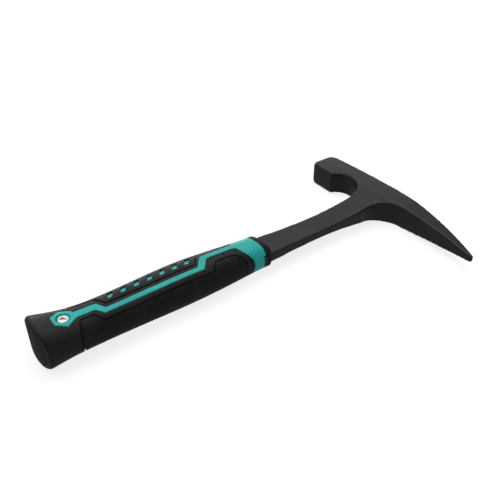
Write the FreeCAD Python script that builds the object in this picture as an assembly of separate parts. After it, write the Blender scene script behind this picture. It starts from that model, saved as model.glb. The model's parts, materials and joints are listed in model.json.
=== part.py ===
import FreeCAD, Part
import math
import os

# One-piece forged rock hammer with a moulded two-colour grip.
#
# Modelling frame, in millimetres: X runs along the handle from the butt to the head,
# Y points from the pick to the striking face, and Z points out of one cheek.

Vector = FreeCAD.Vector

# ---- driving dimensions -------------------------------------------------------------

# head
CHEEK_HALF = 10.5            # half of the head's thickness across the cheeks
CROWN_X = 335.3              # highest point of the head, over the handle
POLL_LOW_X = 306.0           # handle side of the hammering end
POLL_HIGH_X = 331.9          # far side of the hammering end
FACE_Y = 75.0                # the striking face
FACE_LOW_X = 310.6           # extent of the flat of the striking face
FACE_HIGH_X = 323.4
BEVEL_Y = 73.4               # where the bevel on the cheeks round the striking face starts
BEVEL_INSET = 1.7
CORNER_CUT = 5.4             # taken off the edges that meet at each corner of the striking face
TIP_Y = -109.3               # end of the pick
TIP_HALF = 2.5               # half thickness of the pick at its end
TIP_HIGH = (319.5, -107.4)   # where the pick's rounded end starts, far from and near the handle
TIP_LOW = (315.6, -107.6)
PICK_MIDDLE = (-72.0, 7.1)   # along the pick's taper: Y, and half thickness there
PICK_ROOT_Y = -34.0          # where the pick starts to taper
POLL_START = (290.0, 42.0)   # past this corner the hammering end keeps the head's full thickness

# shank and tang
NECK_X = 182.0               # front face of the teal collar
TANG_END_X = 16.0
TANG_STEP_X = NECK_X - 6     # where the shank narrows to the tang
TANG_FINGER_Y = 7.5
TANG_PALM_Y = -8.5
TANG_HALF = 2.7              # half thickness of the tang
SHANK_FINGER_Y = 12.9        # shank edges where it leaves the grip
SHANK_PALM_Y = -13.3
LIP_LENGTH = 5.4
LIP_BEVEL = 1.4              # length of the bevel at the lip's front
LIP_PROUD = 0.1
LIP_NOSE = (13.1, 13.5, 10.8) # reach of the lip's front edge: finger side, palm side, half thickness
LIP_SQUARENESS = 3.2

# grip: station along X, reach to the finger side (+Y), reach to the palm side (-Y),
# half thickness
GRIP_STATIONS = (
    (0.0, 27.4, 15.9, 17.0),
    (12.0, 23.4, 15.2, 15.4),
    (24.0, 20.0, 14.9, 14.2),
    (42.0, 17.8, 15.0, 13.6),
    (64.0, 17.8, 15.0, 13.8),
    (88.0, 18.8, 15.3, 14.3),
    (112.0, 19.4, 15.6, 14.6),
    (132.0, 18.4, 15.5, 14.2),
    (152.0, 16.4, 14.7, 13.5),
    (170.0, 14.6, 13.9, 12.7),
    (NECK_X, 13.8, 13.5, 12.2),
)
NECK_LEAN = -0.12            # how far the grip's front end leans forward per mm of Y
BUTT_DOME = 2.1              # height of the butt's curved end
BUTT_DOME_RADIUS = 62.0
BUTT_MIDDLE_Y = 6.0
SQUARENESS = 2.5             # 2 is an ellipse, larger is squarer
SECTION_POINTS = 32
BUTT_ROUND = 3.4
SKIN = 2.4                   # thickness of the soft moulding over the hard core
CORE_START_X = 9.0
BOND_GAP = 0.05              # between the hard core and the soft moulding
GROOVE_WIDTH = 1.1
GROOVE_DEPTH = 1.1
LEDGE_TUCK = 0.9             # how far the frame reaches under the pads beside a groove

# badge seat and accent strip, on each cheek
BADGE_X = 20.5
BADGE_Y = 1.3
HEXAGON_RADIUS = 8.9
BADGE_RADIUS = 3.8
BADGE_SEAT_RADIUS = 5.0
BADGE_SEAT_DEPTH = 1.6
BADGE_HEIGHT = 0.9
BADGE_ROUND = 0.4
STRIP_PROUD = 0.3
STRIP_DEPTH = 1.8            # how far the strip is let into the frame
STRIP_FINGER_EDGE = ((27.0, 3.6), (43.2, 3.5), (45.6, 2.6), (49.6, -4.4), (125.0, -4.5),
                     (133.6, 6.1), (178.0, 5.9))
STRIP_PALM_EDGE = ((178.0, 1.0), (136.8, 1.2), (129.2, -8.3), (47.2, -8.2), (42.2, -2.6),
                   (27.0, -2.6))
STRIP_CORNER = ((158.6, 1.1), (162.0, 0.3), (164.4, -2.2))   # where the strip runs into the collar

# boundary grooves between the frame and the two pads, as seen on a cheek
FINGER_GROOVE = ((25.0, 30.0), (28.0, 11.6), (45.6, 9.2), (51.6, -0.6), (125.0, -0.8),
                 (132.4, 10.2), (135.0, 30.0))
PALM_GROOVE = ((19.0, -30.0), (30.0, -5.9), (39.9, -6.0), (44.6, -11.8), (135.2, -12.0),
               (141.0, -5.5), (153.4, -5.4))
PALM_GROOVE_NOSE = ((153.4, -5.4), (161.6, -9.6), (165.8, -20.0))

# windows through the finger pad, on each cheek
WINDOW_COUNT = 7
WINDOW_FIRST_X = 58.1
WINDOW_PITCH = 10.7
WINDOW_LOW_Y = 3.9
WINDOW_HIGH_Y = 9.7
WINDOW_LENGTH = 4.2
WINDOW_SLANT = 3.0
WINDOW_DEPTH = 1.1           # the hard core rises to this far below the surface in each window

# collar
COLLAR_REAR_X = 163.7        # rear edge of the collar on the finger side
COLLAR_BEND = (166.8, -8.0)  # the edge curves forward through here on a cheek
COLLAR_PALM = (174.0, -14.5) # and ends here on the palm side

# hidden pieces
PIN_RADIUS = 2.5
PIN_XS = (40.0, 90.0, 140.0)
PIN_HALF_LENGTH = 9.0
DAMPER_LENGTH = 5.0
CAP_RECESS = 3.0
CAP_INSET = 4.5
CAP_GAP = 0.15

REACH = 40.0                 # half height of cutting tools, beyond every surface
WIDE = 1000.0                # cutting tools that reach past the whole tool
MARGIN = 5.0                 # how far cutting tools start outside what they cut
STATION_GAP = 4.0            # a loft skips the stations this close to its ends
TOUCH = 0.01                 # two heights this close are the same
FINE = 0.05                  # accuracy of the points that the overall size is taken from


# ---- helpers ------------------------------------------------------------------------

def spread(x):
    """Finger reach, palm reach and half thickness of the grip at x, between stations."""
    for near, far in zip(GRIP_STATIONS, GRIP_STATIONS[1:]):
        if x <= far[0]:
            part = (x - near[0]) / (far[0] - near[0])
            return [a + (b - a) * part for a, b in zip(near[1:], far[1:])]
    return list(GRIP_STATIONS[-1][1:])


def section(x, grow=0.0, reach=None, squareness=SQUARENESS):
    """Closed squarish-oval wire across the grip at x, grown by a distance."""
    finger, palm, half = reach or spread(x)
    points = []
    for step in range(SECTION_POINTS):
        angle = 2 * math.pi * step / SECTION_POINTS
        c = math.cos(angle)
        s = math.sin(angle)
        side = (finger if c > 0 else palm) + grow
        y = side * math.copysign(abs(c) ** (2 / squareness), c)
        z = (half + grow) * math.copysign(abs(s) ** (2 / squareness), s)
        lean = NECK_LEAN * y if x >= NECK_X else 0
        points.append(Vector(x + lean, y, z))
    curve = Part.BSplineCurve()
    curve.interpolate(Points=points, PeriodicFlag=True)
    return Part.Wire(curve.toShape())


def loft(wires):
    return Part.makeLoft(wires, True, False)


def grip_loft(grow=0.0, start=0.0, end=NECK_X):
    """Solid of the grip's outer surface, grown by a distance, between two stations."""
    inner = [s[0] for s in GRIP_STATIONS if start + STATION_GAP < s[0] < end - STATION_GAP]
    return loft([section(x, grow) for x in (start, *inner, end)])


def chain(points):
    """Straight edges through a list of (x, y) points."""
    return [Part.makeLine(Vector(*a, 0), Vector(*b, 0)) for a, b in zip(points, points[1:])]


def arc(start, middle, end):
    return Part.Arc(Vector(*start, 0), Vector(*middle, 0), Vector(*end, 0)).toShape()


def column(edges, low=-REACH, high=REACH):
    """Prism along Z over a closed outline."""
    face = Part.Face(Part.Wire(Part.__sortEdges__(edges)))
    face.translate(Vector(0, 0, low))
    return face.extrude(Vector(0, 0, high - low))


def outline(points):
    return chain(list(points) + [points[0]])


def cheek_half(shape, sign):
    """The part of a shape on one side of the grip's middle plane."""
    corner = Vector(-WIDE / 2, -WIDE / 2, 0 if sign > 0 else -WIDE)
    return shape.common(Part.makeBox(WIDE, WIDE, WIDE, corner))


def band(points, width, nose=()):
    """Prism along Z over a line of constant width that may end in an arc, for cutting grooves."""
    pieces = []
    for a, b in zip(points, points[1:]):
        start = Vector(*a, 0)
        run = Vector(*b, 0) - start
        side = Vector(-run.y, run.x, 0).normalize() * (width / 2)
        corners = [start + side, start - side, start + run - side, start + run + side]
        pieces.append(column(outline([(c.x, c.y) for c in corners])))
    for corner in points[1:-1]:
        pieces.append(Part.makeCylinder(width / 2, 2 * REACH, Vector(*corner, -REACH)))
    if nose:
        circle = arc(*nose).Curve
        centre = Vector(circle.Center.x, circle.Center.y, -REACH)
        ring = Part.makeCylinder(circle.Radius + width / 2, 2 * REACH, centre)
        ring = ring.cut(Part.makeCylinder(circle.Radius - width / 2, 2 * REACH, centre))
        start, end = nose[0], nose[-1]
        corner = Vector(start[0], end[1], -REACH)
        pieces.append(ring.common(Part.makeBox(REACH, start[1] - end[1], 2 * REACH, corner)))
    solid = pieces[0].fuse(pieces[1:])
    return solid.removeSplitter()


def window_outline(index, gap=0.0):
    """Slanted four-sided window, number index from the butt end, shrunk by a gap."""
    middle = WINDOW_FIRST_X + index * WINDOW_PITCH
    half = WINDOW_LENGTH / 2 - gap
    corners = []
    for y, sides in ((WINDOW_LOW_Y + gap, (-half, half)), (WINDOW_HIGH_Y - gap, (half, -half))):
        lean = WINDOW_SLANT * ((y - WINDOW_LOW_Y) / (WINDOW_HIGH_Y - WINDOW_LOW_Y) - 0.5)
        corners += [(middle + lean + side, y) for side in sides]
    return corners


# ---- forging ------------------------------------------------------------------------

def side_outline():
    """Outline of head, shank and tang, looking along Z."""
    return [
        Part.makeLine(Vector(TANG_END_X, TANG_PALM_Y, 0), Vector(TANG_END_X, TANG_FINGER_Y, 0)),
        *chain(((TANG_END_X, TANG_FINGER_Y), (TANG_STEP_X, TANG_FINGER_Y), (NECK_X, SHANK_FINGER_Y))),
        arc((NECK_X, SHANK_FINGER_Y), (240.0, 10.2), (296.0, 10.5)),
        arc((296.0, 10.5), (310.7, 16.6), (316.6, 31.0)),
        arc((316.6, 31.0), (313.8, 41.2), (POLL_LOW_X, 46.6)),
        *chain(((POLL_LOW_X, 46.6), (POLL_LOW_X, 70.0))),
        arc((POLL_LOW_X, 70.0), (307.4, 73.4), (FACE_LOW_X, FACE_Y)),
        *chain(((FACE_LOW_X, FACE_Y), (FACE_HIGH_X, FACE_Y))),
        arc((FACE_HIGH_X, FACE_Y), (329.2, 72.4), (POLL_HIGH_X, 66.0)),
        arc((POLL_HIGH_X, 66.0), (334.4, 28.0), (CROWN_X, -10.0)),
        arc((CROWN_X, -10.0), (330.5, -61.0), TIP_HIGH),
        arc(TIP_HIGH, (317.5, TIP_Y), TIP_LOW),
        arc(TIP_LOW, (317.3, -67.0), (316.3, -31.0)),
        arc((316.3, -31.0), (309.9, -17.8), (290.0, -12.2)),
        arc((290.0, -12.2), (238.0, -11.6), (NECK_X, SHANK_PALM_Y)),
        *chain(((NECK_X, SHANK_PALM_Y), (TANG_STEP_X, TANG_PALM_Y), (TANG_END_X, TANG_PALM_Y))),
    ]


def shank_profile():
    """What the thickness of tang and shank allows, as a prism along Y."""
    rise = ((NECK_X, 4.8), (203.0, 4.3), (228.0, 3.7), (252.0, 3.9), (278.0, 5.6), (300.0, 8.5),
            (316.0, CHEEK_HALF))
    points = [Vector(x, 0, z) for x, z in rise]
    curve = Part.BSplineCurve()
    curve.interpolate(Points=points, InitialTangent=Vector(1, 0, -0.02), FinalTangent=Vector(1, 0, 0))
    lead = [Vector(TANG_END_X - MARGIN, 0, TANG_HALF), Vector(TANG_STEP_X, 0, TANG_HALF),
            Vector(NECK_X, 0, rise[0][1])]
    tail = [Vector(rise[-1][0], 0, CHEEK_HALF), Vector(CROWN_X + MARGIN, 0, CHEEK_HALF)]
    edges = [Part.makeLine(a, b) for a, b in ((lead[0], lead[1]), (lead[1], lead[2]), (tail[0], tail[1]))]
    edges.append(curve.toShape())
    edges += [edge.mirror(Vector(0, 0, 0), Vector(0, 0, 1)) for edge in edges]
    for end in (lead[0], tail[1]):
        edges.append(Part.makeLine(end, Vector(end.x, 0, -end.z)))
    face = Part.Face(Part.Wire(Part.__sortEdges__(edges)))
    face.translate(Vector(0, -WIDE / 2, 0))
    return face.extrude(Vector(0, WIDE, 0))


def pick_profile():
    """What the taper of the pick allows, as a prism along X."""
    def half(sign):
        start = Vector(0, TIP_Y - MARGIN, sign * TIP_HALF)
        tip = Vector(0, TIP_Y, sign * TIP_HALF)
        middle = Vector(0, PICK_MIDDLE[0], sign * PICK_MIDDLE[1])
        root = Vector(0, PICK_ROOT_Y, sign * CHEEK_HALF)
        end = Vector(0, FACE_Y + MARGIN, sign * CHEEK_HALF)
        return [Part.makeLine(start, tip), Part.Arc(tip, middle, root).toShape(), Part.makeLine(root, end)]
    edges = half(1) + half(-1)
    for y, z in ((TIP_Y - MARGIN, TIP_HALF), (FACE_Y + MARGIN, CHEEK_HALF)):
        edges.append(Part.makeLine(Vector(0, y, -z), Vector(0, y, z)))
    face = Part.Face(Part.Wire(Part.__sortEdges__(edges)))
    return face.extrude(Vector(WIDE, 0, 0))


def bevel_tool():
    """What the bevels between the cheeks and the striking face take off."""
    def wedge(sign):
        edge = (BEVEL_Y, sign * CHEEK_HALF)
        nose = (FACE_Y, sign * (CHEEK_HALF - BEVEL_INSET))
        outside = (FACE_Y, sign * CHEEK_HALF)
        start = POLL_LOW_X - MARGIN
        line = Part.makePolygon([Vector(start, y, z) for y, z in (edge, nose, outside, edge)])
        return Part.Face(line).extrude(Vector(POLL_HIGH_X + MARGIN - start, 0, 0))
    return [wedge(1), wedge(-1)]


def corner_tool(way):
    """Block that takes off the corner of the striking end that lies in a direction."""
    corner = Vector(POLL_HIGH_X if way.x > 0 else POLL_LOW_X, FACE_Y, way.z * CHEEK_HALF)
    turn = FreeCAD.Rotation(Vector(0, 0, 1), way)
    start = corner - way * (CORNER_CUT / 3) - turn.multVec(Vector(REACH / 2, REACH / 2, 0))
    block = Part.makeBox(REACH, REACH, REACH)
    block.Placement = FreeCAD.Placement(start, turn)
    return block


def forging():
    plate = column(side_outline(), -CHEEK_HALF, CHEEK_HALF)
    plate = plate.common(pick_profile())
    poll_zone = Part.makeBox(2 * REACH, 2 * REACH, 2 * REACH, Vector(*POLL_START, -REACH))
    poll = plate.common(poll_zone)
    rest = plate.cut(poll_zone).common(shank_profile())
    solid = rest.fuse(poll).removeSplitter()
    corners = [corner_tool(Vector(x, 1, z)) for x in (-1, 1) for z in (-1, 1)]
    solid = solid.cut(bevel_tool() + corners)
    for x in PIN_XS:
        solid = solid.cut(Part.makeCylinder(PIN_RADIUS, 2 * REACH, Vector(x, 0, -REACH)))
    return solid.Solids[0]


# ---- plan regions on the cheeks, as prisms along Z ----------------------------------

def collar_region():
    middle = (COLLAR_REAR_X, 0.0)
    front = NECK_X + MARGIN
    rest = [middle, (COLLAR_REAR_X, REACH), (front, REACH), (front, -REACH), (COLLAR_PALM[0], -REACH),
            COLLAR_PALM]
    return column([arc(COLLAR_PALM, COLLAR_BEND, middle), *chain(rest)])


def strip_region():
    corners = []
    for step in range(6):
        angle = math.radians(30 + 60 * step)
        along = HEXAGON_RADIUS * math.cos(angle)
        across = HEXAGON_RADIUS * math.sin(angle)
        corners.append((BADGE_X + along, BADGE_Y + across))
    run = column(outline(STRIP_FINGER_EDGE + STRIP_PALM_EDGE))
    hexagon = column(outline(corners))
    start, bend, end = STRIP_CORNER
    inside = end[0] + MARGIN
    corner = column([arc(start, bend, end), *chain((end, (inside, end[1]), (inside, start[1]), start))])
    return run.fuse([hexagon, corner]).cut(collar_region()).removeSplitter()


def finger_region():
    return column(outline(FINGER_GROOVE))


def palm_region():
    ends = chain((PALM_GROOVE_NOSE[-1], PALM_GROOVE[0]))
    return column([*chain(PALM_GROOVE), arc(*PALM_GROOVE_NOSE), *ends])


def window_column(index, gap=0.0):
    return column(outline(window_outline(index, gap)))


def pad_borders(width):
    """The lines round both pads as prisms of a width."""
    return band(FINGER_GROOVE, width).fuse(band(PALM_GROOVE, width, PALM_GROOVE_NOSE))


# ---- grip pieces --------------------------------------------------------------------

def butt_trim():
    """What is taken off behind the butt's curved end."""
    middle = Vector(BUTT_DOME_RADIUS - BUTT_DOME, BUTT_MIDDLE_Y, -REACH)
    block = Part.makeBox(REACH, 2 * REACH, 2 * REACH, Vector(MARGIN - REACH, BUTT_MIDDLE_Y - REACH, -REACH))
    return block.cut(Part.makeCylinder(BUTT_DOME_RADIUS, 2 * REACH, middle))


def cross_pins():
    length = 2 * PIN_HALF_LENGTH
    pins = [Part.makeCylinder(PIN_RADIUS, length, Vector(x, 0, -PIN_HALF_LENGTH)) for x in PIN_XS]
    return Part.makeCompound(pins)


def tang_damper():
    width = TANG_FINGER_Y - TANG_PALM_Y
    corner = Vector(TANG_END_X - DAMPER_LENGTH, TANG_PALM_Y, -TANG_HALF)
    return Part.makeBox(DAMPER_LENGTH, width, 2 * TANG_HALF, corner)


def front_lip(steel):
    end = NECK_X + LIP_LENGTH
    step = end - LIP_BEVEL
    flange = loft([section(NECK_X, LIP_PROUD), section(step, LIP_PROUD)])
    taper = loft([section(step, LIP_PROUD), section(end, 0.0, LIP_NOSE, LIP_SQUARENESS)])
    return flange.fuse(taper).removeSplitter().cut(steel)


def end_cap(clearance=0.0):
    return loft([section(x, -CAP_INSET - clearance) for x in (-MARGIN, CAP_RECESS)])


def badge(sign):
    floor = spread(BADGE_X)[2] - BADGE_SEAT_DEPTH
    base = floor if sign > 0 else -floor - BADGE_HEIGHT
    disc = Part.makeCylinder(BADGE_RADIUS, BADGE_HEIGHT, Vector(BADGE_X, BADGE_Y, base))
    level = floor + BADGE_HEIGHT
    rim = [e for e in disc.Edges if e.Closed and abs(abs(e.CenterOfMass.z) - level) < TOUCH]
    return disc.makeFillet(BADGE_ROUND, rim)


def badge_seats():
    floor = spread(BADGE_X)[2] - BADGE_SEAT_DEPTH
    high = Part.makeCylinder(BADGE_SEAT_RADIUS, REACH, Vector(BADGE_X, BADGE_Y, floor))
    low = Part.makeCylinder(BADGE_SEAT_RADIUS, REACH, Vector(BADGE_X, BADGE_Y, -floor - REACH))
    return high.fuse(low)


def build():
    """All pieces of the hammer, by node name."""
    steel = forging()
    trim = butt_trim()
    outer = grip_loft(0.0, -MARGIN).cut(trim)
    rim = [edge for edge in outer.Edges if edge.Closed and edge.BoundBox.XMax < GRIP_STATIONS[1][0]]
    outer = outer.makeFillet(BUTT_ROUND, rim)
    skin = outer.cut(grip_loft(-SKIN, CORE_START_X, NECK_X))
    core = grip_loft(-SKIN - BOND_GAP, CORE_START_X + BOND_GAP, NECK_X)
    window_floor = grip_loft(-WINDOW_DEPTH, CORE_START_X, NECK_X)
    core = core.fuse([window_column(index, BOND_GAP).common(window_floor) for index in range(WINDOW_COUNT)])
    groove_depth_zone = outer.cut(grip_loft(-GROOVE_DEPTH, -MARGIN, NECK_X + MARGIN))

    collar = skin.common(collar_region()).cut(steel)
    strip_bed = grip_loft(-STRIP_DEPTH, -MARGIN, NECK_X + MARGIN)
    strip_zone = strip_region().cut(strip_bed)
    seats = badge_seats()
    strips = grip_loft(STRIP_PROUD, -MARGIN).common(strip_zone).cut(seats)

    borders = pad_borders(GROOVE_WIDTH)
    ledges = pad_borders(GROOVE_WIDTH + 2 * LEDGE_TUCK).cut(groove_depth_zone)
    grooves = borders.common(groove_depth_zone)
    windows = [window_column(index) for index in range(WINDOW_COUNT)]
    finger_zone = finger_region().cut(borders).cut(ledges)
    palm_zone = palm_region().cut(borders).cut(ledges)
    finger_pad = skin.common(finger_zone).cut(windows)
    palm_pad = skin.common(palm_zone)

    frame = skin.cut(collar_region()).cut(strip_zone).cut(finger_zone).cut(palm_zone)
    frame = frame.cut(grooves).cut(end_cap()).cut(seats)

    damper = tang_damper()
    pins = cross_pins()
    hard_core = core.cut(steel).cut(damper).cut(pins)
    pieces = {
        "forged_head_and_shank": steel,
        "tang_cross_pins": pins,
        "tang_end_damper": damper,
        "core_shell_upper": cheek_half(hard_core, 1),
        "core_shell_lower": cheek_half(hard_core, -1),
        "front_collar_ring": collar,
        "front_seal_lip": front_lip(steel),
        "accent_strip_upper": cheek_half(strips, 1),
        "accent_strip_lower": cheek_half(strips, -1),
        "badge_medallion_upper": badge(1),
        "badge_medallion_lower": badge(-1),
        "grip_frame": frame,
        "finger_pad": finger_pad,
        "palm_pad": palm_pad,
        "end_cap": end_cap(CAP_GAP).cut(trim),
    }
    return pieces


def place(pieces):
    """Moves the pieces so that the origin is below the middle of the whole tool."""
    points = [point for shape in pieces.values() for point in shape.tessellate(FINE)[0]]
    low = [min(point[axis] for point in points) for axis in range(3)]
    high = [max(point[axis] for point in points) for axis in range(3)]
    shift = Vector(-(low[0] + high[0]) / 2, -(low[1] + high[1]) / 2, -low[2])
    for shape in pieces.values():
        shape.translate(shift)
    print("overall size", [round(b - a, 2) for a, b in zip(low, high)], "moved by", shift)


if __name__ == "__main__":
    os.makedirs("parts", exist_ok=True)
    hammer = build()
    place(hammer)
    for node, shape in hammer.items():
        shape.exportStep("parts/" + node + ".step")
        print(node, "solids", len(shape.Solids), "volume", round(shape.Volume, 1), "valid", shape.isValid())
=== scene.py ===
import json
import math

import bmesh
import bpy
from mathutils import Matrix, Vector


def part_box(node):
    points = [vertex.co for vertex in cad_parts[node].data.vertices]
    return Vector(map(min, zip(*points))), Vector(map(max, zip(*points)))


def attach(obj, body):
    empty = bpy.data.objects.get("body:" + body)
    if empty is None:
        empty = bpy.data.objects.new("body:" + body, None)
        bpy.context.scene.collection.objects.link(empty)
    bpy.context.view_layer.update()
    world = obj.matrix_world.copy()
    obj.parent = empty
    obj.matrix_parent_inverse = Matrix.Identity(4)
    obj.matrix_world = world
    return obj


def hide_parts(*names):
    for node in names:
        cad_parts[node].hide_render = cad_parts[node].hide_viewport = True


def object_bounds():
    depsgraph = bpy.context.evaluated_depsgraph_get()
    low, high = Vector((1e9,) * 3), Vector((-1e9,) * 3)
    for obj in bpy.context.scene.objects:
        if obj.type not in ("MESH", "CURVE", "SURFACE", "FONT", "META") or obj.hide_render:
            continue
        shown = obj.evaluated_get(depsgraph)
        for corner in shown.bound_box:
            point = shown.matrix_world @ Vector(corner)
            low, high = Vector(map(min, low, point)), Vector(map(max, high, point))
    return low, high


# Rock hammer: a black one-piece forging with a moulded grip in black and teal.
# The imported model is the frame. The forging and the grip's outer pieces are made
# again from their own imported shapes, with the edges rounded as forging and moulding
# round them. The badges are turned from a profile. The hard core, the pins and the
# damper stay as packed and are only painted.

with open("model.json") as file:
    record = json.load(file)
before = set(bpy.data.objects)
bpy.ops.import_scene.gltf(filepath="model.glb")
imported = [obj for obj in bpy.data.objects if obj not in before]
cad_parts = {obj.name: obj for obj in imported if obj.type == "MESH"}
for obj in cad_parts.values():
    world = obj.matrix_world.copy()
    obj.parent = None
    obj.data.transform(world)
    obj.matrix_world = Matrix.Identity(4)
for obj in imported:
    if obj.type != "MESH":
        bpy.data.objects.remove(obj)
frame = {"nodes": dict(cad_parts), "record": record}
cad_low, cad_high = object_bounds()

MM = 0.001

# ---- what is driven from here -------------------------------------------------------

# how finely each node is made again, and how many smoothing passes round its edges
STEEL_VOXEL = 0.60 * MM
STEEL_PASSES = 18
SKIN_VOXEL = 0.34 * MM
SKIN_PASSES = 4
TRIM_VOXEL = 0.30 * MM
TRIM_PASSES = 3
PASS_STRENGTH = 0.5

# camera: direction of view, and where it looks from the middle of the object
VIEW_TURN = math.radians(36.04)
VIEW_DROP = math.radians(36.27)
VIEW_DISTANCE = 0.5303
AIM = Vector((0.0148, 0.0229, 0.0))
LENS = 46.8
SENSOR = 36.0

# sky: brightness from below and from above, and how high it is fully bright, 1 being overhead
SKY_BELOW = 0.52
SKY_ABOVE = 0.64
SKY_TOP = 0.75
SKY_STRENGTH = 0.85

# colours, linear
STEEL_DARK = (0.0065, 0.0065, 0.0068)
STEEL_LIGHT = (0.0120, 0.0120, 0.0124)
RUBBER_DARK = (0.0065, 0.0060, 0.0064)
RUBBER_LIGHT = (0.0115, 0.0105, 0.0110)
PAD_DARK = (0.0050, 0.0049, 0.0050)
PAD_LIGHT = (0.0085, 0.0083, 0.0085)
TEAL_DARK = (0.006, 0.350, 0.318)
TEAL_LIGHT = (0.010, 0.420, 0.384)
BADGE_WHITE = (0.82, 0.81, 0.79)
EMBLEM_RED = (0.20, 0.030, 0.015)
PIN_DARK = (0.315, 0.315, 0.322)
PIN_LIGHT = (0.450, 0.450, 0.460)
FLOOR_DARK = (0.3104, 0.3104, 0.3104)
FLOOR_LIGHT = (0.3200, 0.3200, 0.3200)

# floor: glow, gap under the line along the butt and the head, and half its width in metres
FLOOR_GLOW = 0.78
FLOOR_GAP = 0.35 * MM
FLOOR_HALF = 30.0

# badge: the resin dome, and the print under it in millimetres from its middle
DOME_HEIGHT = 0.35 * MM
DOME_SHOULDER = 0.3 * MM
DOME_STEPS = 64
SHOULDER_STEPS = 6
CROWN_STEPS = 8
SAME_POINT = 0.001 * MM
PRINT_PEAKS = ((-0.5, 1.6), (1.3, 0.8))
PRINT_SLOPE = 0.95
PRINT_BASE = -1.0


# ---- materials ----------------------------------------------------------------------

class Surface:
    """A Principled material with short calls for the textures that drive it."""

    def __init__(self, name):
        self.material = bpy.data.materials.new(name)
        self.material.use_nodes = True
        self.tree = self.material.node_tree
        self.shader = self.tree.nodes["Principled BSDF"]
        self.place = self.tree.nodes.new("ShaderNodeTexCoord").outputs["Object"]

    def set(self, socket, value):
        """Gives a socket of the shader one value everywhere."""
        self.shader.inputs[socket].default_value = value

    def noise(self, size, detail=4.0, rough=0.55, stretch=(1.0, 1.0, 1.0)):
        """Noise whose largest features are about size across, in metres."""
        mapping = self.tree.nodes.new("ShaderNodeMapping")
        mapping.inputs["Scale"].default_value = stretch
        node = self.tree.nodes.new("ShaderNodeTexNoise")
        node.inputs["Scale"].default_value = 1.0 / size
        node.inputs["Detail"].default_value = detail
        node.inputs["Roughness"].default_value = rough
        self.tree.links.new(self.place, mapping.inputs["Vector"])
        self.tree.links.new(mapping.outputs["Vector"], node.inputs["Vector"])
        return node.outputs["Fac"]

    def grains(self, size):
        """Rounded grains about size across, in metres."""
        node = self.tree.nodes.new("ShaderNodeTexVoronoi")
        node.inputs["Scale"].default_value = 1.0 / size
        node.feature = "SMOOTH_F1"
        self.tree.links.new(self.place, node.inputs["Vector"])
        return node.outputs["Distance"]

    def between(self, source, low, high, start=0.35, end=0.65):
        """A number that goes from low to high as source goes from start to end."""
        node = self.tree.nodes.new("ShaderNodeMapRange")
        node.inputs["From Min"].default_value = start
        node.inputs["From Max"].default_value = end
        node.inputs["To Min"].default_value = low
        node.inputs["To Max"].default_value = high
        self.tree.links.new(source, node.inputs["Value"])
        return node.outputs["Result"]

    def tint(self, source, dark, light, start=0.35, end=0.65):
        """A colour that goes from dark to light as source goes from start to end."""
        ramp = self.tree.nodes.new("ShaderNodeValToRGB")
        ramp.color_ramp.elements[0].position = start
        ramp.color_ramp.elements[0].color = (*dark, 1.0)
        ramp.color_ramp.elements[1].position = end
        ramp.color_ramp.elements[1].color = (*light, 1.0)
        self.tree.links.new(source, ramp.inputs["Fac"])
        return ramp.outputs["Color"]

    def bump(self, source, height, strength=1.0, under=None):
        """Relief of a height in metres, added to the relief under it."""
        node = self.tree.nodes.new("ShaderNodeBump")
        node.inputs["Strength"].default_value = strength
        node.inputs["Distance"].default_value = height
        self.tree.links.new(source, node.inputs["Height"])
        if under:
            self.tree.links.new(under, node.inputs["Normal"])
        return node.outputs["Normal"]

    def along(self, middle, way):
        """How far a point lies from a middle along a direction, in millimetres."""
        shift = self.tree.nodes.new("ShaderNodeVectorMath")
        shift.operation = "SUBTRACT"
        shift.inputs[1].default_value = middle
        measure = self.tree.nodes.new("ShaderNodeVectorMath")
        measure.operation = "DOT_PRODUCT"
        measure.inputs[1].default_value = way / MM
        self.tree.links.new(self.place, shift.inputs[0])
        self.tree.links.new(shift.outputs["Vector"], measure.inputs[0])
        return measure.outputs["Value"]

    def math(self, operation, *values):
        """One arithmetic step on numbers or on the results of other steps."""
        node = self.tree.nodes.new("ShaderNodeMath")
        node.operation = operation
        for socket, value in zip(node.inputs, values):
            if isinstance(value, float):
                socket.default_value = value
            else:
                self.tree.links.new(value, socket)
        return node.outputs["Value"]

    def wire(self, source, socket):
        """Lets the result of a step drive a socket of the shader."""
        self.tree.links.new(source, self.shader.inputs[socket])


def forged_steel():
    """Satin black coat over a forging: fine orange peel, faint scale clouds, softly uneven gloss."""
    s = Surface("forged_steel")
    clouds = s.noise(size=14 * MM, detail=6.0, rough=0.6)
    gloss = s.noise(size=5 * MM, detail=5.0)
    peel = s.bump(s.noise(size=0.9 * MM, detail=3.0), height=0.05 * MM, strength=0.55)
    waves = s.bump(s.noise(size=9 * MM, detail=2.0), height=0.12 * MM, strength=0.35, under=peel)
    s.wire(s.tint(clouds, STEEL_DARK, STEEL_LIGHT), "Base Color")
    s.wire(s.between(gloss, low=0.33, high=0.44), "Roughness")
    s.wire(waves, "Normal")
    s.set("Specular IOR Level", 0.27)
    return s.material


def soft_moulding(name, dark, light, low, high, specular):
    """Thermoplastic rubber with a spark-eroded matt grain and a roughness from low to high."""
    s = Surface(name)
    clouds = s.noise(size=18 * MM, detail=5.0)
    gloss = s.noise(size=3 * MM, detail=4.0)
    grain = s.bump(s.grains(size=0.55 * MM), height=0.05 * MM, strength=0.5)
    fine = s.bump(s.noise(size=0.3 * MM, detail=2.0), height=0.03 * MM, strength=0.5, under=grain)
    s.wire(s.tint(clouds, dark, light), "Base Color")
    s.wire(s.between(gloss, low, high), "Roughness")
    s.wire(fine, "Normal")
    s.set("Specular IOR Level", specular)
    return s.material


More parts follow.
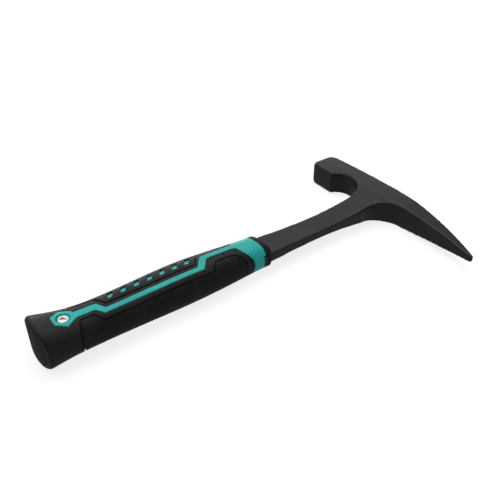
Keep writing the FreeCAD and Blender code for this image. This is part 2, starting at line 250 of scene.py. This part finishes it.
def teal_plastic(name, low, high, specular):
    """Hard moulded plastic with a satin texture and faint flow marks along the grip."""
    s = Surface(name)
    flow = s.noise(size=9 * MM, detail=4.0, stretch=(0.35, 1.0, 1.0))
    gloss = s.noise(size=2.5 * MM, detail=3.0)
    s.wire(s.tint(flow, TEAL_DARK, TEAL_LIGHT), "Base Color")
    s.wire(s.between(gloss, low, high), "Roughness")
    s.wire(s.bump(s.noise(size=0.35 * MM, detail=2.0), height=0.02 * MM, strength=0.5), "Normal")
    s.set("Specular IOR Level", specular)
    return s.material


def printed_badge():
    """Clear resin dome over a white print with two plain red-brown peaks."""
    s = Surface("badge_white")
    low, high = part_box("badge_medallion_upper")
    middle = (Vector(low) + Vector(high)) / 2
    across = s.along(middle, Vector((math.cos(VIEW_TURN), -math.sin(VIEW_TURN), 0.0)))
    upward = s.along(middle, Vector((math.sin(VIEW_TURN), math.cos(VIEW_TURN), 0.0)))
    inside = 0.0
    for place, height in PRINT_PEAKS:
        away = s.math("ABSOLUTE", s.math("SUBTRACT", across, place))
        reach = s.math("ADD", upward, s.math("MULTIPLY", away, PRINT_SLOPE))
        inside = s.math("MAXIMUM", inside, s.math("LESS_THAN", reach, height))
    inside = s.math("MULTIPLY", inside, s.math("GREATER_THAN", upward, PRINT_BASE))
    s.wire(s.tint(inside, BADGE_WHITE, EMBLEM_RED), "Base Color")
    s.wire(s.between(s.noise(size=1.2 * MM), low=0.16, high=0.26), "Roughness")
    s.wire(s.bump(s.noise(size=1.5 * MM, detail=1.0), height=0.02 * MM, strength=0.3), "Normal")
    s.set("Coat Weight", 0.5)
    return s.material


def drawn_steel():
    """Plain drawn pins, with marks along their length."""
    s = Surface("pin_steel")
    marks = s.noise(size=1.2 * MM, detail=5.0, stretch=(1.0, 1.0, 0.05))
    s.wire(s.tint(marks, PIN_DARK, PIN_LIGHT), "Base Color")
    s.wire(s.between(marks, low=0.25, high=0.4), "Roughness")
    s.wire(s.bump(marks, height=0.02 * MM, strength=0.4), "Normal")
    s.set("Metallic", 1.0)
    return s.material


def pale_floor():
    """Almost white floor that glows a little, so the tool's shadow on it stays faint."""
    s = Surface("floor")
    s.wire(s.tint(s.noise(size=0.5, detail=3.0), FLOOR_DARK, FLOOR_LIGHT), "Base Color")
    s.wire(s.between(s.noise(size=0.2), low=0.85, high=0.95), "Roughness")
    s.set("Specular IOR Level", 0.0)
    s.set("Emission Color", (1.0, 1.0, 1.0, 1.0))
    s.set("Emission Strength", FLOOR_GLOW)
    return s.material


SLOTS = {
    "forged_steel": forged_steel(),
    "pin_steel": drawn_steel(),
    "damper_rubber": soft_moulding("damper_rubber", PAD_DARK, PAD_LIGHT, low=0.7, high=0.8, specular=0.3),
    "teal_core": teal_plastic("teal_core", low=0.26, high=0.40, specular=0.6),
    "teal_trim": teal_plastic("teal_trim", low=0.42, high=0.56, specular=0.3),
    "badge_white": printed_badge(),
    "black_frame": soft_moulding("black_frame", RUBBER_DARK, RUBBER_LIGHT, low=0.50, high=0.64,
                                 specular=0.20),
    "black_pad": soft_moulding("black_pad", PAD_DARK, PAD_LIGHT, low=0.48, high=0.62, specular=0.16),
    "black_cap": soft_moulding("black_cap", PAD_DARK, PAD_LIGHT, low=0.55, high=0.70, specular=0.12),
}
NODE_SLOTS = {part["node"]: part["material_slot"] for part in frame["record"]["subparts"]}


def paint(piece, slot):
    piece.data.materials.clear()
    piece.data.materials.append(SLOTS[slot])


# ---- pieces -------------------------------------------------------------------------

def settled(piece):
    """Applies the modifiers of a piece to its mesh."""
    view = bpy.context.evaluated_depsgraph_get()
    mesh = bpy.data.meshes.new_from_object(piece.evaluated_get(view))
    piece.modifiers.clear()
    piece.data = mesh


def keep(piece, node):
    """Rides the piece on the tool's one body, in the node's place and finish."""
    slot = NODE_SLOTS[node]
    paint(piece, slot)
    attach(piece, "root")
    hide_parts(node)


def rounded(node, name, voxel, passes):
    """The node's own shape as an even mesh, with every sharp edge softly rounded."""
    piece = bpy.data.objects.new(name, frame["nodes"][node].data.copy())
    bpy.context.scene.collection.objects.link(piece)
    remesh = piece.modifiers.new("even", "REMESH")
    remesh.mode = "VOXEL"
    remesh.voxel_size = voxel
    remesh.use_smooth_shade = True
    smooth = piece.modifiers.new("round", "SMOOTH")
    smooth.factor = PASS_STRENGTH
    smooth.iterations = passes
    settled(piece)
    keep(piece, node)


def dome(node, name, up):
    """A badge turned from its profile: flat base, round shoulder and a low resin dome."""
    low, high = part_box(node)
    middle = (Vector(low) + Vector(high)) / 2
    radius = (high[0] - low[0]) / 2
    height = high[2] - low[2]
    crown = radius - DOME_SHOULDER
    profile = [(0.0, 0.0), (radius, 0.0)]
    for step in range(SHOULDER_STEPS + 1):
        angle = math.pi / 2 * step / SHOULDER_STEPS
        profile.append((crown + DOME_SHOULDER * math.cos(angle),
                        height - DOME_SHOULDER + DOME_SHOULDER * math.sin(angle)))
    for step in range(1, CROWN_STEPS + 1):
        across = crown * (1 - step / CROWN_STEPS)
        profile.append((across, height + DOME_HEIGHT * (1 - (across / crown) ** 2)))
    base = low[2] if up > 0 else high[2]
    mesh = bmesh.new()
    points = [mesh.verts.new((middle.x + r, middle.y, base + up * z)) for r, z in profile]
    edges = [mesh.edges.new(pair) for pair in zip(points, points[1:])]
    bmesh.ops.spin(mesh, geom=points + edges, cent=middle, axis=(0.0, 0.0, 1.0), angle=2 * math.pi,
                   steps=DOME_STEPS, use_merge=True)
    bmesh.ops.remove_doubles(mesh, verts=mesh.verts, dist=SAME_POINT)
    bmesh.ops.recalc_face_normals(mesh, faces=mesh.faces)
    for face in mesh.faces:
        face.smooth = True
    data = bpy.data.meshes.new(name)
    mesh.to_mesh(data)
    mesh.free()
    piece = bpy.data.objects.new(name, data)
    bpy.context.scene.collection.objects.link(piece)
    keep(piece, node)


rounded("forged_head_and_shank", "head_and_shank", STEEL_VOXEL, STEEL_PASSES)
for node in ("grip_frame", "finger_pad", "palm_pad", "end_cap", "front_seal_lip"):
    rounded(node, node + "_moulded", SKIN_VOXEL, SKIN_PASSES)
for node in ("front_collar_ring", "accent_strip_upper", "accent_strip_lower"):
    rounded(node, node + "_moulded", TRIM_VOXEL, TRIM_PASSES)
dome("badge_medallion_upper", "badge_dome_upper", 1)
dome("badge_medallion_lower", "badge_dome_lower", -1)
for node in ("core_shell_upper", "core_shell_lower", "tang_cross_pins", "tang_end_damper"):
    paint(frame["nodes"][node], NODE_SLOTS[node])


# ---- floor, light and camera --------------------------------------------------------

def floor():
    """Pale floor just below the butt, the swell of the grip and the crown of the head."""
    head_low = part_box("forged_head_and_shank")[0].z
    length = cad_high[0] - cad_low[0]
    slope = math.atan(head_low / length)
    mesh = bpy.data.meshes.new("floor")
    corners = [(x * FLOOR_HALF, y * FLOOR_HALF, 0) for x, y in ((-1, -1), (1, -1), (1, 1), (-1, 1))]
    mesh.from_pydata(corners, [], [(0, 1, 2, 3)])
    plane = bpy.data.objects.new("floor", mesh)
    bpy.context.scene.collection.objects.link(plane)
    plane.location = (cad_low[0], 0.0, cad_low[2] - FLOOR_GAP)
    plane.rotation_euler = (0.0, -slope, 0.0)
    plane.visible_diffuse = False
    plane.visible_glossy = False
    mesh.materials.append(pale_floor())


def softbox(name, turn, rise, distance, width, height, power):
    """Large soft light at a compass turn and rise from the object, facing it."""
    data = bpy.data.lights.new(name, "AREA")
    data.shape = "RECTANGLE"
    data.size = width
    data.size_y = height
    data.energy = power
    lamp = bpy.data.objects.new(name, data)
    bpy.context.scene.collection.objects.link(lamp)
    turn = math.radians(turn)
    rise = math.radians(rise)
    way = Vector((math.sin(turn) * math.cos(rise), math.cos(turn) * math.cos(rise), math.sin(rise)))
    lamp.location = way * distance
    lamp.rotation_euler = (-way).to_track_quat("-Z", "Y").to_euler()
    lamp.visible_camera = False


def sky():
    """Soft light from all round, a little dimmer from below."""
    world = bpy.data.worlds.new("studio")
    bpy.context.scene.world = world
    world.use_nodes = True
    tree = world.node_tree
    place = tree.nodes.new("ShaderNodeTexCoord")
    split = tree.nodes.new("ShaderNodeSeparateXYZ")
    ramp = tree.nodes.new("ShaderNodeValToRGB")
    below, above = ramp.color_ramp.elements
    below.position = 0.0
    below.color = (SKY_BELOW, SKY_BELOW, SKY_BELOW, 1.0)
    above.position = SKY_TOP
    above.color = (SKY_ABOVE, SKY_ABOVE, SKY_ABOVE, 1.0)
    tree.links.new(place.outputs["Generated"], split.inputs["Vector"])
    tree.links.new(split.outputs["Z"], ramp.inputs["Fac"])
    tree.links.new(ramp.outputs["Color"], tree.nodes["Background"].inputs["Color"])
    tree.nodes["Background"].inputs["Strength"].default_value = SKY_STRENGTH


def camera():
    middle = (Vector(cad_low) + Vector(cad_high)) / 2
    data = bpy.data.cameras.new("camera")
    data.lens = LENS
    data.sensor_width = SENSOR
    data.clip_start = 0.01
    eye = bpy.data.objects.new("camera", data)
    bpy.context.scene.collection.objects.link(eye)
    flat = math.cos(VIEW_DROP)
    way = Vector((math.sin(VIEW_TURN) * flat, math.cos(VIEW_TURN) * flat, -math.sin(VIEW_DROP)))
    eye.location = middle + AIM - way * VIEW_DISTANCE
    eye.rotation_euler = way.to_track_quat("-Z", "Y").to_euler()
    bpy.context.scene.camera = eye


floor()
sky()
softbox("overhead_light", turn=20.0, rise=68.0, distance=1.6, width=1.5, height=1.1, power=14.0)
softbox("rim_light", turn=30.0, rise=4.0, distance=1.5, width=1.6, height=0.3, power=8.0)
camera()
bpy.context.scene.view_settings.view_transform = "Standard"
